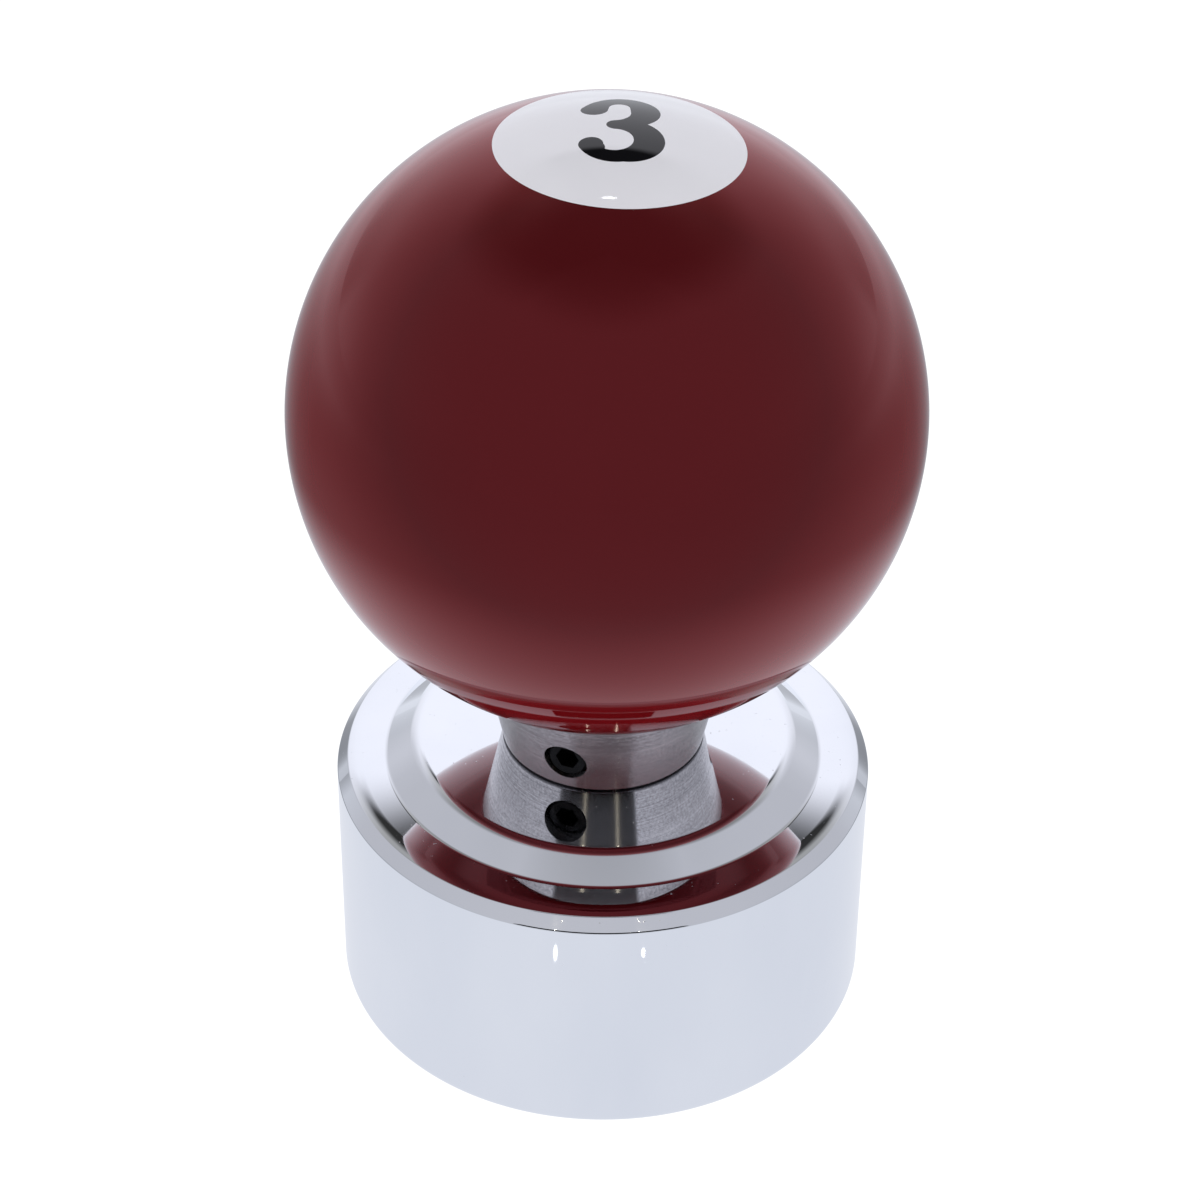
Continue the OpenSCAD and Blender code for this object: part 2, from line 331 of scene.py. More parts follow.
def outward(azimuth):
    """Turns +Z to a level direction, in degrees from +X, at the height of the set screws."""
    turn = Matrix.Rotation(math.radians(azimuth), 4, "Z") @ Matrix.Rotation(math.radians(90), 4, "Y")
    return Matrix.Translation((0, 0, SET_SCREW_Z)) @ turn


def threaded_rod(name, radius, pitch, low, high, chamfer, sides=96, depth=0.6134, steps=20):
    """A right-handed threaded rod about Z, with chamfered ends.

    depth is the thread's depth in pitches, and steps is the number of rings in a pitch. The thread's
    crest and root are each 1/8 of a pitch wide, and its flanks take up the rest.
    """
    rings = math.ceil((high - low) / pitch * steps)
    vertices, faces = [], []
    for k in range(rings + 1):
        z = low + (high - low) * k / rings
        limit = radius - max(0.0, chamfer - min(z - low, high - z))
        for i in range(sides):
            phase = (z / pitch - i / sides) % 1
            from_crest = min(phase, 1 - phase)
            flank = min(1.0, max(0.0, (from_crest - 1 / 16) / (5 / 16)))
            r = min(limit, radius - depth * pitch * flank)
            angle = 2 * math.pi * i / sides
            vertices.append((r * math.cos(angle), r * math.sin(angle), z))
    for k in range(rings):
        for i in range(sides):
            j = (i + 1) % sides
            faces.append((k * sides + i, k * sides + j, (k + 1) * sides + j, (k + 1) * sides + i))
    faces.append(tuple(range(sides))[::-1])
    faces.append(tuple(rings * sides + i for i in range(sides)))
    return new_piece(name, vertices, faces)


def smooth_by_angle(piece, degrees=32):
    """Smooth shading, with edges sharper than an angle kept crisp."""
    piece.data.polygons.foreach_set("use_smooth", np.ones(len(piece.data.polygons), bool))
    piece.data.set_sharp_from_angle(angle=math.radians(degrees))
    return piece


# ---------------------------------------------------------------- materials

class Graph:
    """Shader nodes of a tree, added with their settings and inputs in one call."""

    def __init__(self, tree):
        self.tree = tree
        self.where = self.add("TexCoord").outputs

    def add(self, kind, inputs=None, **settings):
        """Adds a node, with its settings, and with inputs that are values or other nodes' outputs."""
        made = self.tree.nodes.new("ShaderNode" + kind)
        for key, value in settings.items():
            setattr(made, key, value)
        for key, value in (inputs or {}).items():
            if isinstance(value, bpy.types.NodeSocket):
                self.tree.links.new(value, made.inputs[key])
            elif isinstance(value, tuple) and made.inputs[key].type == "RGBA":
                made.inputs[key].default_value = (*value, 1)
            else:
                made.inputs[key].default_value = value
        return made

    def between(self, factor, low, high, start=0.3, end=0.7, kind="LINEAR"):
        """A value that goes from low to high as factor goes from start to end."""
        wanted = {"Value": factor, "From Min": start, "From Max": end, "To Min": low, "To Max": high}
        return self.add("MapRange", wanted, interpolation_type=kind).outputs[0]

    def step(self, factor, start, end):
        """A value that goes smoothly from 0 to 1 as factor goes from start to end."""
        return self.between(factor, 0, 1, start, end, "SMOOTHSTEP")

    def blend(self, factor, first, second):
        """A colour that goes from first to second with factor."""
        return self.add("Mix", {0: factor, 6: first, 7: second}, data_type="RGBA").outputs[2]

    def calc(self, operation, first, second=0.0):
        """Two values added, subtracted, multiplied or divided, or the ABSOLUTE of the first."""
        return self.add("Math", {0: first, 1: second}, operation=operation).outputs[0]

    def average(self, first, second, share):
        """A value with a share of the first and the rest of the second."""
        rest = self.calc("MULTIPLY", second, 1 - share)
        return self.calc("ADD", self.calc("MULTIPLY", first, share), rest)

    def ramp(self, factor, stops, tint=(1, 1, 1)):
        """A colour that follows (position, brightness) stops, or stops that are colours."""
        node = self.add("ValToRGB", {0: factor})
        while len(node.color_ramp.elements) > 1:
            node.color_ramp.elements.remove(node.color_ramp.elements[-1])
        for index, (position, level) in enumerate(stops):
            stop = node.color_ramp.elements[0] if index == 0 else node.color_ramp.elements.new(position)
            colour = level if isinstance(level, tuple) else (level, level, level)
            stop.position, stop.color = position, (*(a * b for a, b in zip(colour, tint)), 1)
        return node.outputs[0]

    def bearing(self, direction):
        """0 for directions behind the object (+Y), 0.5 for those aside and 1 for those in front (-Y)."""
        flat = self.add("VectorMath", {0: direction, 1: (1, 1, 0)}, operation="MULTIPLY").outputs[0]
        unit = self.add("VectorMath", {0: flat}, operation="NORMALIZE").outputs[0]
        front = self.add("VectorMath", {0: unit, 1: (0, -0.5, 0)}, operation="DOT_PRODUCT")
        return self.calc("ADD", front.outputs["Value"], 0.5)


class Paint(Graph):
    """A procedural material: a Principled shader whose colour, roughness and bump come from nodes."""

    def __init__(self, name, **constants):
        self.material = bpy.data.materials.new(name)
        self.material.use_nodes = True
        super().__init__(self.material.node_tree)
        self.shader = self.tree.nodes["Principled BSDF"]
        for socket, value in constants.items():
            self.shader.inputs[socket.replace("_", " ")].default_value = value

    def noise(self, scale, detail=3.0, stretch=(1, 1, 1), rough=0.5):
        """Noise whose features are about 1 / scale metres, stretched along each axis."""
        vector = self.add("Mapping", {"Vector": self.where["Object"], "Scale": stretch}).outputs[0]
        wanted = {"Vector": vector, "Scale": scale, "Detail": detail, "Roughness": rough}
        return self.add("TexNoise", wanted).outputs["Fac"]

    def drive(self, socket, value):
        """Links a value to one of the shader's sockets."""
        self.tree.links.new(value, self.shader.inputs[socket])

    def bump(self, height, strength, distance):
        """Bump from a height, whose whole range is a distance in mm."""
        wanted = {"Height": height, "Strength": strength, "Distance": distance * MM}
        self.drive("Normal", self.add("Bump", wanted).outputs[0])


def resin(name, shade_a, shade_b, gloss=0.4, tint=(1, 1, 1), rim=None):
    """Polished phenolic resin: a deep even colour under a hard gloss with the faintest handling haze.

    rim, if given, is a lighter colour that the base colour turns to where faces turn away from the view:
    a painted sheen at the rim. gloss and tint are the level and the colour of the mirrored light.
    """
    paint = Paint(name, IOR=1.5)
    paint.shader.inputs["Specular IOR Level"].default_value = gloss
    paint.shader.inputs["Specular Tint"].default_value = (*tint, 1)
    colour = paint.blend(paint.between(paint.noise(55, 4), 0, 1), shade_a, shade_b)
    if rim:
        # Painted sheen: the base colour goes to the lighter rim colour as faces turn away from the view
        facing = paint.add("LayerWeight", {"Blend": 0.5}).outputs["Facing"]
        colour = paint.blend(paint.between(facing, 0, 1, 0.27, 0.78), colour, rim)
    paint.drive("Base Color", colour)
    haze = paint.noise(240, 5, (1, 1, 0.6))
    paint.drive("Roughness", paint.between(haze, 0.02, 0.06, 0.35, 0.75))
    return paint.material


def chrome(name):
    """Mirror-polished plate, with polishing haze, faint swirls and specks of dust."""
    paint = Paint(name, Metallic=1.0)
    haze = paint.noise(70, 5, (1, 1, 0.4))
    clean, hazy = (0.83, 0.85, 0.885), (0.78, 0.805, 0.85)
    paint.drive("Base Color", paint.blend(paint.between(haze, 0, 1), clean, hazy))
    speck = paint.between(paint.noise(2600, 1), 0, 1, 0.74, 0.8)
    swirl = paint.between(paint.noise(500, 3, (1, 1, 0.15)), 0.015, 0.05, 0.3, 0.8)
    paint.drive("Roughness", paint.calc("ADD", swirl, paint.calc("MULTIPLY", speck, 0.25)))
    return paint.material


def turned(name, colour, dark, fine=1.0, streaks=True, smoothest=0.15, roughest=0.25, seam=None):
    """Bare metal turned on a lathe: fine rings round the axis, over a mottled, slightly grainy skin.

    fine is how closely the rings lie. streaks stretches reflections across the rings. seam is the height,
    in mm, of a joint just above which the metal is painted near-black: a painted shade in place of the
    joint's contact shadow.
    """
    paint = Paint(name, Metallic=1.0)
    rings = paint.noise(900 * fine, 4, (0.015, 0.015, 6), 0.65)
    grain = paint.noise(4200, 3)
    mottle = paint.noise(160, 5)
    tone = paint.average(paint.average(rings, grain, 0.55), mottle, 0.75)
    metal = paint.blend(paint.between(tone, 0, 1, 0.36, 0.62), dark, colour)
    if seam:
        # Painted shade: the colour turns near-black just above the seam, standing in for the contact
        # shadow at the joint
        height = paint.add("SeparateXYZ", {0: paint.where["Object"]}).outputs["Z"]
        seam_shade = paint.between(height, 1, 0, (seam + 0.12) * MM, (seam + 0.4) * MM)
        metal = paint.blend(seam_shade, metal, (0.02, 0.018, 0.02))
    paint.drive("Base Color", metal)
    paint.drive("Roughness", paint.between(tone, roughest, smoothest, 0.35, 0.65))
    if streaks:
        paint.shader.inputs["Anisotropic"].default_value = 1.0
        paint.shader.inputs["Anisotropic Rotation"].default_value = 0.25
        paint.drive("Tangent", paint.add("Tangent", direction_type="RADIAL", axis="Z").outputs[0])
    paint.bump(paint.calc("ADD", paint.calc("MULTIPLY", rings, 0.5), grain), 0.2, 0.006)
    return paint.material


def zinc(name):
    """Bright zinc plate: bluish grey, lightly clouded."""
    paint = Paint(name, Metallic=1.0)
    bright, clouded = (0.56, 0.57, 0.58), (0.38, 0.41, 0.45)
    paint.drive("Base Color", paint.blend(paint.between(paint.noise(320, 5), 0, 1), bright, clouded))
    paint.drive("Roughness", paint.between(paint.noise(900, 4), 0.18, 0.38))
    paint.bump(paint.noise(2500, 2), 0.15, 0.02)
    return paint.material


def black_oxide(name):
    """Black-oxide steel: nearly black, oily, with a grey graininess."""
    paint = Paint(name, Metallic=0.75)
    black, grey = (0.004, 0.004, 0.0045), (0.012, 0.012, 0.0135)
    paint.drive("Base Color", paint.blend(paint.between(paint.noise(700, 5), 0, 1), black, grey))
    paint.drive("Roughness", paint.between(paint.noise(1500, 4), 0.2, 0.38))
    paint.bump(paint.noise(3500, 2), 0.2, 0.02)
    return paint.material


MATERIALS = {
    # The red resin's rim colour is a painted sheen, lighter towards the ball's outline
    "ball_resin_red": resin("ball_resin_red", (0.062, 0.0036, 0.0048), (0.067, 0.004, 0.0054),
                            gloss=0.85, tint=(1, 0.2, 0.225), rim=(0.22, 0.005, 0.0075)),
    "ball_resin_white": resin("ball_resin_white", (0.8, 0.795, 0.82), (0.83, 0.82, 0.84)),
    "ball_resin_black": resin("ball_resin_black", (0.003, 0.003, 0.004), (0.005, 0.005, 0.006)),
    # The neck's seam darkening is a painted shade where it meets the cup
    "turned_aluminium": turned("turned_aluminium", (0.84, 0.82, 0.84), (0.34, 0.33, 0.35), fine=1.7,
                               seam=CUP_H),
    "polished_chrome": chrome("polished_chrome"),
    "plate_aluminium": turned("plate_aluminium", (0.64, 0.64, 0.66), (0.45, 0.45, 0.47), fine=0.5,
                              streaks=False, smoothest=0.25, roughest=0.4),
    "zinc_steel": zinc("zinc_steel"),
    "black_oxide_steel": black_oxide("black_oxide_steel"),
}


# ---------------------------------------------------------------- pieces of the knob

def finish_piece(piece, node, body, slot):
    """Gives a piece its material, hides the CAD node that it stands in for, and parents it to the body
    that carries it.
    """
    piece.data.materials.clear()
    piece.data.materials.append(MATERIALS[slot])
    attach(piece, body)
    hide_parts(node)
    return piece


def spot_matrix():
    """The frame of the number spot, which leans a little from the ball's axis."""
    right = Matrix.Rotation(math.radians(SPOT_LEAN_RIGHT), 4, "Y")
    back = Matrix.Rotation(math.radians(-SPOT_LEAN_BACK), 4, "X")
    return Matrix.Translation((0, 0, BALL_Z)) @ right @ back


def build_ball():
    """The ball: a sphere with a pocket for the spot, a flat for the neck and a bore for its shank."""
    rim = math.degrees(math.atan2(SPOT_RIM, SPOT_R))
    outline = Outline(0, -BALL_R).arc(0, 0, BALL_R, -90, rim, 150)
    piece, _ = outline.to((SPOT_R, SPOT_FLOOR), (0, SPOT_FLOOR)).solid("ball_resin_shell", 256)
    place(piece, spot_matrix())
    combine(piece, rod(BALL_R, BALL_Z - BALL_R - 5 * PAST, BALL_FLAT_Z, 128))
    combine(piece, rod(SHANK_BORE_R, BALL_FLAT_Z - PAST, BALL_FLAT_Z + SHANK_BORE_DEPTH, 128))
    shade(piece, [ball((0, 0, BALL_Z), BALL_R), tube((0, 0, 0), (0, 0, 1), SHANK_BORE_R)])
    return finish_piece(piece, "ball_body", "knob", "ball_resin_red")


def numeral_prism():
    """The numeral as a prism: two bowls, swelled at the left, less their counters, with round terminals.

    Each disc and block is a little taller than the one before, so that no two share the plane of an end.
    """
    heights = iter(range(100))

    def disc(x, y, r):
        spare = 0.1 * next(heights)
        return place(rod(r, 22 - spare, 31 + spare, 128), Matrix.Translation((x, y, 0)))

    def block(*outline):
        spare = 0.1 * next(heights)
        corners = [(x, y, z) for z in (21 - spare, 32 + spare) for x, y in outline]
        return new_piece("tool", corners, BOX_FACES)

    def box(left, low, right, high):
        return block((left, low), (right, low), (right, high), (left, high))

    upper_bowl, lower_bowl = (0.17, 2.92, 3.22), (0.45, -2.25, 3.28)
    upper_swell, upper_swell_box = (0.45, 2.12, 4.02), (-6, 3.08, 0.2, 7)
    lower_swell, lower_swell_box = (-0.43, -2.37, 3.22), (-6, -7, 0.45, -3.2)
    upper_counter = (-0.1, 3.6, 0.9), (-0.15, 2.5, 1.02)
    upper_counter_sides = (-1.158, 2.657), (0.868, 2.565), (0.798, 3.657), (-0.989, 3.739)
    counter_foot, counter_foot_box = (-0.75, 2.5, 1.62), (-3, 0, 3, 2.5)
    lower_counter = (-0.56, -2.35, 1.65)
    open_side = (-5, -3, -0.6, 2.9)
    terminals = (-2.25, 3.17, 1.17), (-2.5, -3.08, 1.05), (-2.13, -3.58, 0.83), (-0.45, 0.1, 0.78)

    prism = disc(*upper_bowl)
    combine(prism, disc(*lower_bowl), "UNION")
    combine(prism, combine(disc(*upper_swell), box(*upper_swell_box), "INTERSECT"), "UNION")
    combine(prism, combine(disc(*lower_swell), box(*lower_swell_box), "INTERSECT"), "UNION")
    for circle in (*upper_counter, lower_counter):
        combine(prism, disc(*circle))
    combine(prism, block(*upper_counter_sides))
    combine(prism, combine(disc(*counter_foot), box(*counter_foot_box), "INTERSECT"))
    combine(prism, box(*open_side))
    for circle in terminals:
        combine(prism, disc(*circle), "UNION")
    return prism


def build_spot():
    """The white spot, with a pocket for the numeral, flush with the ball."""
    rim = math.degrees(math.atan2(SPOT_RIM, SPOT_R))
    outline = Outline(0, SPOT_FLOOR).to((SPOT_R, SPOT_FLOOR), (SPOT_R, SPOT_RIM))
    piece, _ = outline.arc(0, 0, BALL_R, rim, 90, 36).solid("number_spot_inlay", 256)
    combine(piece, combine(rod(12, NUMERAL_FLOOR, 31), numeral_prism(), "INTERSECT"))
    shade(place(piece, spot_matrix()), [ball((0, 0, BALL_Z), BALL_R)])
    return finish_piece(piece, "number_spot", "knob", "ball_resin_white")


def build_numeral():
    """The black numeral, a lens of the ball cut to its outline."""
    reach = math.sqrt(BALL_R**2 - NUMERAL_FLOOR**2)
    first = math.degrees(math.atan2(NUMERAL_FLOOR, reach))
    outline = Outline(0, NUMERAL_FLOOR).to((reach, NUMERAL_FLOOR)).arc(0, 0, BALL_R, first, 90, 32)
    piece, _ = outline.solid("numeral_three_inlay", 192)
    combine(piece, numeral_prism(), "INTERSECT")
    shade(place(piece, spot_matrix()), [ball((0, 0, BALL_Z), BALL_R)])
    return finish_piece(piece, "numeral_three", "knob", "ball_resin_black")


def build_neck():
    """The flared neck: turned cone, shank, threaded bore and three radial holes."""
    bore_top = CUP_H + NECK_BORE_DEPTH
    drill_r, drill_top = NECK_BORE_R - 1.1, bore_top - 1
    outline = Outline(0, drill_top).to(
        (drill_r, drill_top), (drill_r, CUP_H), (NECK_BASE_R - NECK_EDGE, CUP_H),
        (NECK_BASE_R, CUP_H + NECK_EDGE),
        # The edge under the ball is just broken
        (NECK_TOP_R - 0.03, BALL_FLAT_Z - 0.14), (NECK_TOP_R - 0.15, BALL_FLAT_Z),
        (SHANK_R, BALL_FLAT_Z), (SHANK_R, NECK_TOP_Z - SHANK_EDGE), (SHANK_R - SHANK_EDGE, NECK_TOP_Z),
        (0, NECK_TOP_Z),
    )
    piece, surfaces = outline.solid("neck_turned", 256)
    thread = threaded_rod("tool", NECK_BORE_R, STUD_PITCH, CUP_H - PAST, bore_top - 0.5, 0.3, depth=0.56)
    combine(piece, thread)
    mouth_r, mouth_depth = NECK_BORE_R + 0.6, 1.8
    mouth = [(0, CUP_H - PAST), (mouth_r + PAST, CUP_H - PAST),
             (mouth_r - mouth_depth, CUP_H + mouth_depth), (0, CUP_H + mouth_depth)]
    combine(piece, revolve("tool", mouth, 96))
    for azimuth in SET_SCREW_AZIMUTHS.values():
        combine(piece, place(rod(SET_SCREW_HOLE_R, 3, 14, 64), outward(azimuth)))
        spoke = (math.cos(math.radians(azimuth)), math.sin(math.radians(azimuth)), 0)
        surfaces.append(tube((0, 0, SET_SCREW_Z), spoke, SET_SCREW_HOLE_R))
    shade(piece, surfaces)
    return finish_piece(piece, "neck_insert", "knob", "turned_aluminium")


def build_set_screw(node, azimuth):
    """A cup-point set screw with a hex socket, in its hole."""
    end, chamfer = SET_SCREW_LENGTH, 0.35
    piece = threaded_rod(node + "_threaded", SET_SCREW_R, SET_SCREW_PITCH, 0, end, chamfer, 64)
    combine(piece, rod(hex_corner(SET_SCREW_KEY), end - SET_SCREW_KEY_DEPTH, end + PAST, 6, 30))
    point = [(0, -PAST), (1.5 * SET_SCREW_POINT_R, -PAST), (SET_SCREW_POINT_R, 0),
             (0, SET_SCREW_POINT_DEPTH)]
    combine(piece, revolve("tool", point, 48))
    place(piece, outward(azimuth) @ Matrix.Translation((0, 0, SET_SCREW_TIP_R)))
    smooth_by_angle(piece)
    return finish_piece(piece, node, node, "black_oxide_steel")


# ---------------------------------------------------------------- pieces of the adapter

def build_cup():
    """The polished cup: flat tier, chamfer, shoulder that rolls to a crest, bevel and side wall."""
    def roll(r, z, radius, first, last):
        """Where a rounding that starts at one slope ends at another."""
        first, last = math.radians(first), math.radians(last)
        return (r + radius * (math.sin(last) - math.sin(first)),
                z - radius * (math.cos(first) - math.cos(last)))

    def slope(degrees):
        return math.tan(math.radians(degrees))

    tier_end = roll(TIER_FLAT_R, CUP_H, TIER_ROUND, 0, TIER_SLOPE)
    foot_z = tier_end[1] - (FOOT_R - tier_end[0]) * slope(TIER_SLOPE)
    reach = FOOT_ROUND * slope((TIER_SLOPE - SHOULDER_SLOPE) / 2)
    tilt, lean = math.radians(SHOULDER_SLOPE), math.radians(CREST_SLOPE)
    foot_end = (FOOT_R + reach * math.cos(tilt), foot_z - reach * math.sin(tilt))
    roll_z = foot_z - (ROLL_R - FOOT_R) * slope(SHOULDER_SLOPE)
    crest = roll(ROLL_R, roll_z, ROLL_ROUND, SHOULDER_SLOPE, CREST_SLOPE)
    bevel_top = roll(*crest, CREST_ROUND, CREST_SLOPE, BEVEL_SLOPE)
    wall_z = bevel_top[1] - (CUP_R - bevel_top[0]) * slope(BEVEL_SLOPE)
    outline = Outline(STUD_HOLE_R, CUP_H - 0.2).to((STUD_HOLE_R + 0.2, CUP_H))
    outline.arc(TIER_FLAT_R, CUP_H - TIER_ROUND, TIER_ROUND, 90, 90 - TIER_SLOPE, 20)
    outline.arc(foot_end[0] + FOOT_ROUND * math.sin(tilt), foot_end[1] + FOOT_ROUND * math.cos(tilt),
                FOOT_ROUND, 270 - TIER_SLOPE, 270 - SHOULDER_SLOPE, 12)
    outline.arc(ROLL_R - ROLL_ROUND * math.sin(tilt), roll_z - ROLL_ROUND * math.cos(tilt),
                ROLL_ROUND, 90 - SHOULDER_SLOPE, 90 - CREST_SLOPE, 10)
    outline.arc(crest[0] - CREST_ROUND * math.sin(lean), crest[1] - CREST_ROUND * math.cos(lean),
                CREST_ROUND, 90 - CREST_SLOPE, 90 - BEVEL_SLOPE, 8)
    outline.arc(CUP_R - WALL_TOP_ROUND, wall_z - WALL_TOP_ROUND * slope(45 - BEVEL_SLOPE / 2),
                WALL_TOP_ROUND, 90 - BEVEL_SLOPE, 0, 10)
    outline.arc(CUP_R - RIM_ROUND, RIM_ROUND, RIM_ROUND, 0, -90, 14)
    outline.to((MOUTH_R + MOUTH_RELIEF, 0), (MOUTH_R, MOUTH_RELIEF), (MOUTH_R, MOUTH_LENGTH),
               (CUP_BORE_R, MOUTH_LENGTH + MOUTH_R - CUP_BORE_R), (CUP_BORE_R, PLATE_TOP_Z - INNER_EDGE),
               (CUP_BORE_R - INNER_EDGE, PLATE_TOP_Z), (STUD_HOLE_R, PLATE_TOP_Z))
    outline.points.reverse()
    piece, surfaces = outline.solid("cup_polished", 256)
    shade(piece, surfaces)
    return finish_piece(piece, "cup", "cup", "polished_chrome")


def build_plate():
    """The round plate under the cup's deck, with a recess for the nut and two screw holes."""
    outline = Outline(STUD_R + THREAD_GAP, NUT_RECESS_TOP).to(
        (NUT_RECESS_R, NUT_RECESS_TOP), (NUT_RECESS_R, PLATE_Z + NUT_RECESS_EDGE),
        (NUT_RECESS_R + NUT_RECESS_EDGE, PLATE_Z), (PLATE_R - PLATE_EDGE, PLATE_Z),
        (PLATE_R, PLATE_Z + PLATE_EDGE), (PLATE_R, PLATE_TOP_Z - 2 * PLATE_EDGE),
        (PLATE_R - 2 * PLATE_EDGE, PLATE_TOP_Z), (STUD_R + THREAD_GAP, PLATE_TOP_Z),
    )
    piece, surfaces = outline.solid("adapter_plate_turned", 192)
    for side in (-1, 1):
        aside = Matrix.Translation((side * SCREW_X, 0, 0))
        combine(piece, place(rod(SCREW_HOLE_R, PLATE_Z - PAST, PLATE_TOP_Z + PAST, 64), aside))
        combine(piece, place(rod(COUNTERBORE_R, FLAT_WASHER_Z, PLATE_TOP_Z + PAST, 64), aside))
        surfaces += [tube((side * SCREW_X, 0, 0), (0, 0, 1), r) for r in (SCREW_HOLE_R, COUNTERBORE_R)]
    shade(piece, surfaces)
    return finish_piece(piece, "adapter_plate", "adapter", "plate_aluminium")


def build_stud():
    """The threaded stud that the knob screws on to."""
    piece = threaded_rod("stud_threaded", STUD_R, STUD_PITCH, STUD_Z, STUD_TOP_Z, STUD_CHAMFER)
    return finish_piece(smooth_by_angle(piece), "stud", "adapter", "zinc_steel")


def build_nut():
    """The thin hex nut, chamfered below."""
    corner, edge = hex_corner(NUT_FLATS), 0.1
    fall = (corner - NUT_FLATS / 2) * math.tan(math.radians(30))
    piece, surfaces = Outline(0, NUT_Z).to(
        (NUT_FLATS / 2, NUT_Z), (corner, NUT_Z + fall), (corner, NUT_TOP_Z - edge),
        (corner - 2 * edge, NUT_TOP_Z), (0, NUT_TOP_Z)).solid("jam_nut_hex", 192)
    combine(piece, rod(corner - 0.01, NUT_Z - PAST, NUT_TOP_Z + PAST, 6), "INTERSECT")
    bore = STUD_R + THREAD_GAP
    tool, inner = Outline(0, NUT_Z - PAST).to(
        (bore + 1.48, NUT_Z - PAST), (bore, NUT_Z + 0.48), (bore, NUT_TOP_Z + PAST),
        (0, NUT_TOP_Z + PAST)).solid("tool", 96)
    combine(piece, tool)
    shade(piece, surfaces[:2] + inner)
    return finish_piece(piece, "jam_nut", "adapter", "zinc_steel")


def build_split_washer():
    """The split lock washer under the nut, its edges slightly broken."""
    edge = 0.12
    outline = Outline(SPLIT_BORE_R, SPLIT_Z + edge).to(
        (SPLIT_BORE_R + edge, SPLIT_Z), (SPLIT_R - edge, SPLIT_Z), (SPLIT_R, SPLIT_Z + edge),
        (SPLIT_R, SPLIT_TOP_Z - edge), (SPLIT_R - edge, SPLIT_TOP_Z), (SPLIT_BORE_R + edge, SPLIT_TOP_Z),
        (SPLIT_BORE_R, SPLIT_TOP_Z - edge),
    )
    piece, surfaces = outline.solid("lock_washer_split", 192)
    half, reach = SPLIT_GAP / 2, SPLIT_R + PAST
    gap = [(x, y, z) for z in (SPLIT_Z - PAST, SPLIT_TOP_Z + PAST)
           for x, y in ((0, -half), (reach, -half), (reach, half), (0, half))]
    combine(piece, new_piece("tool", gap, BOX_FACES))
    shade(piece, surfaces)
    return finish_piece(piece, "lock_washer", "adapter", "zinc_steel")


def build_plate_screw(node, side):
    """A socket-head cap screw: a plain head, a plain grip and a threaded end."""
    seat, grip_end, overlap = FLAT_WASHER_TOP_Z, PLATE_Z, 0.5
    round_z = SCREW_TOP_Z - SCREW_HEAD_EDGE
    outline = Outline(0, seat).to((SCREW_HEAD_R, seat), (SCREW_HEAD_R, round_z))
    outline.arc(SCREW_HEAD_R - SCREW_HEAD_EDGE, round_z, SCREW_HEAD_EDGE, 0, 90, 6).to((0, SCREW_TOP_Z))
    piece, _ = outline.solid(node + "_threaded", 120)
    combine(piece, rod(hex_corner(SCREW_KEY), SCREW_TOP_Z - SCREW_KEY_DEPTH, SCREW_TOP_Z + PAST, 6))
    combine(piece, rod(SCREW_GRIP_R, grip_end - overlap, seat + overlap, 96), "UNION")
    combine(piece, threaded_rod("tool", SCREW_R, SCREW_PITCH, SCREW_Z, grip_end, 0.5, 96), "UNION")
    place(piece, Matrix.Translation((side * SCREW_X, 0, 0)))
    return finish_piece(smooth_by_angle(piece), node, "adapter", "black_oxide_steel")


def build_flat_washers():
    """The two flat washers under the screw heads."""
    low, high, edge = FLAT_WASHER_Z, FLAT_WASHER_TOP_Z, FLAT_WASHER_EDGE

    def one(name, x):
        outline = Outline(SCREW_HOLE_R, low).to(
            (FLAT_WASHER_R - edge, low), (FLAT_WASHER_R, low + edge), (FLAT_WASHER_R, high - edge),
            (FLAT_WASHER_R - edge, high), (SCREW_HOLE_R, high))
        return place(outline.solid(name, 96)[0], Matrix.Translation((x, 0, 0)))

    piece = combine(one("screw_washer_pair", -SCREW_X), one("tool", SCREW_X), "UNION")
    return finish_piece(smooth_by_angle(piece), "screw_washers", "adapter", "zinc_steel")


# ---------------------------------------------------------------- studio

# The greys of the studio are listed by bearing: behind (0), aside (0.5) and in front (1)
WALL_TINT = (0.985, 0.99, 1.07)
TABLE_TINT = (0.965, 0.99, 1.07)
# The table by the cup, and the distances over which it turns into the far table, and that into its edge
TABLE_BY_CUP = (0.81, 0.832, 0.9)
TABLE_NEAR, TABLE_FAR = (0.055, 0.11), (0.15, 0.5)
FAR_TABLE = (
    (0.0, 0.75), (0.03, 0.6), (0.07, 0.46), (0.12, 0.34), (0.2, 0.23), (0.3, 0.23), (0.5, 0.38),
    (0.75, 0.54), (1.0, 0.64),
)
TABLE_EDGE = (
    (0.0, 1.1), (0.03, 1.0), (0.07, 0.82), (0.12, 0.7), (0.18, 0.62), (0.25, 0.62), (0.5, 0.48),
    (0.75, 0.55), (1.0, 0.62),
)
# The surroundings: at the horizon, and higher up. All heights are sines of the elevation.
HORIZON = (
    (0.0, 1.25), (0.03, 1.1), (0.07, 0.72), (0.1, 0.52), (0.15, 0.42), (0.18, 0.46), (0.22, 0.7),
    (0.3, 0.7), (0.4, 0.56), (0.5, 0.5), (0.75, 0.56), (1.0, 0.62),
)
HORIZON_TOP = 0.28
AROUND = (
    (0.0, 1.08), (0.02, 1.06), (0.07, 0.92), (0.12, 0.74), (0.2, 0.61), (0.25, 0.58), (0.5, 0.58),
    (0.75, 0.6), (1.0, 0.6),
)
